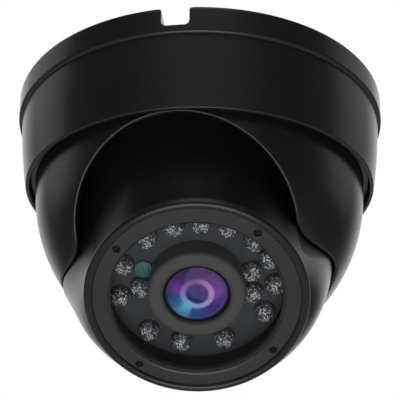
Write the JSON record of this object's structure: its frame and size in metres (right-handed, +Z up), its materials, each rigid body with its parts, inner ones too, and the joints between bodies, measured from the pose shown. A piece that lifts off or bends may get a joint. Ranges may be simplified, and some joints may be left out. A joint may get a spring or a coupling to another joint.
{
  "type": "dome camera",
  "caption": "Ceiling eyeball dome camera: round base with a cable notch, clamp ring, and a ball with a hooded snout, flat window, infrared lamps and lens.",
  "frame": {"origin": "centre of the ceiling face, which is also the centre of the circle of ceiling screws", "axes": "+Z up into the ceiling, -Y the way the lens looks (54.6 degrees below the horizon), +X to the right as seen from in front of the lens"},
  "size_m": [0.0935, 0.0935, 0.0767],
  "materials": {
    "black_plastic": "fine satin",
    "ring_plastic": "fine satin",
    "hood_plastic": "fine satin",
    "snout_plastic": "fine satin",
    "rear_plastic": "fine satin",
    "foam": "closed-cell foam",
    "soft_pad": "soft rubber",
    "pan_ring": "acetal",
    "bezel_plastic": "satin",
    "window": "clear",
    "mask": "flat",
    "shroud": "matt",
    "lamp_outer": "clear",
    "lamp_inner": "clear",
    "photocell_face": "epoxy",
    "barrel": "black anodised",
    "lens_front": "coated",
    "lens_middle": "coated",
    "lens_rear": "coated",
    "retainer": "black anodised",
    "lock_nut": "black anodised",
    "holder": "moulded",
    "day_glass": "coated",
    "night_glass": "clear",
    "motor_case": "moulded",
    "filter_frame": "moulded",
    "rotor_magnet": "sintered",
    "coil_copper": "enamelled wire",
    "lamp_board": "solder mask",
    "camera_board": "solder mask",
    "supply_board": "solder mask",
    "sensor_glass": "ceramic and glass",
    "chip": "epoxy",
    "heat_silicone": "silicone",
    "heat_aluminium": "plain",
    "inductor": "ferrite",
    "cans": "sleeved",
    "sockets": "nylon",
    "spacers": "turned",
    "board_steel": "plain",
    "nut_steel": "plain",
    "bezel_steel": "black",
    "case_steel": "black",
    "lock_steel": "black",
    "seal_rubber": "soft",
    "window_rubber": "soft",
    "gland_rubber": "moulded",
    "gland_plastic": "moulded",
    "sachet": "paper and gel"
  },
  "bodies": {
    "base": {"base_plate": "black_plastic", "base_gasket": "foam", "seat_pads": "soft_pad", "ring_lock_screw": "lock_steel"},
    "ring": {"trim_ring": "ring_plastic"},
    "pan_carrier": {"friction_ring": "pan_ring"},
    "tilt_carrier": {"cable_gland": "gland_rubber", "gland_nut": "gland_plastic"},
    "ball": {"hood_shell": "hood_plastic", "front_shell": "snout_plastic", "rear_shell": "rear_plastic", "shell_seal": "seal_rubber", "case_screws": "case_steel", "front_bezel": "bezel_plastic", "bezel_screws": "bezel_steel", "window_seal": "window_rubber", "front_window": "window", "led_board": "lamp_board", "outer_ir_leds": "lamp_outer", "inner_ir_leds": "lamp_inner", "photocell": "photocell_face", "led_mask": "mask", "lens_shroud": "shroud", "lens_barrel": "barrel", "front_lens": "lens_front", "middle_lens": "lens_middle", "rear_lens": "lens_rear", "lens_retainer": "retainer", "lens_lock_nut": "lock_nut", "lens_holder": "holder", "ir_cut_housing": "motor_case", "ir_cut_coil": "coil_copper", "sensor_board": "camera_board", "image_sensor": "sensor_glass", "processor": "chip", "heat_pad": "heat_silicone", "heat_plate": "heat_aluminium", "power_board": "supply_board", "board_spacers": "spacers", "board_screws": "board_steel", "board_nuts": "nut_steel", "board_connectors": "sockets", "transformer": "inductor", "capacitors": "cans", "desiccant_pack": "sachet"},
    "filter_motor": {"ir_cut_rotor": "rotor_magnet"},
    "filter_frame": {"ir_cut_slider": "filter_frame", "day_filter": "day_glass", "night_filter": "night_glass"}
  },
  "joints": [
    {"name": "ring_twist", "type": "hinge", "parent": "base", "child": "ring", "pos_m": [0, 0, 0], "axis": [0, 0, 1], "range_deg": [0, 22]},
    {"name": "ball_pan", "type": "hinge", "parent": "base", "child": "pan_carrier", "pos_m": [0, 0, -0.0246], "axis": [0, 0, 1], "range_deg": [-180, 180]},
    {"name": "ball_tilt", "type": "hinge", "parent": "pan_carrier", "child": "tilt_carrier", "pos_m": [0, 0, -0.0246], "axis": [0.9999, -0.0157, 0], "range_deg": [-1.6, 35.4]},
    {"name": "ball_roll", "type": "hinge", "parent": "tilt_carrier", "child": "ball", "pos_m": [0, 0, -0.0246], "axis": [-0.0091, -0.5792, -0.8151], "range_deg": [-22.5, 7.5]},
    {"name": "filter_motor_turn", "type": "hinge", "parent": "ball", "child": "filter_motor", "pos_m": [0.01326, -0.0144, -0.0415], "axis": [-0.0091, -0.5792, -0.8151], "range_deg": [-70.07, 0]},
    {"name": "filter_slide", "type": "slide", "parent": "ball", "child": "filter_frame", "axis": [0.9897, -0.122, 0.0756], "range_m": [0, 0.0062]}
  ],
  "couplings": [
    {"joint": "filter_motor_turn", "follows": "filter_slide", "rad_per_m": -197.25}
  ]
}
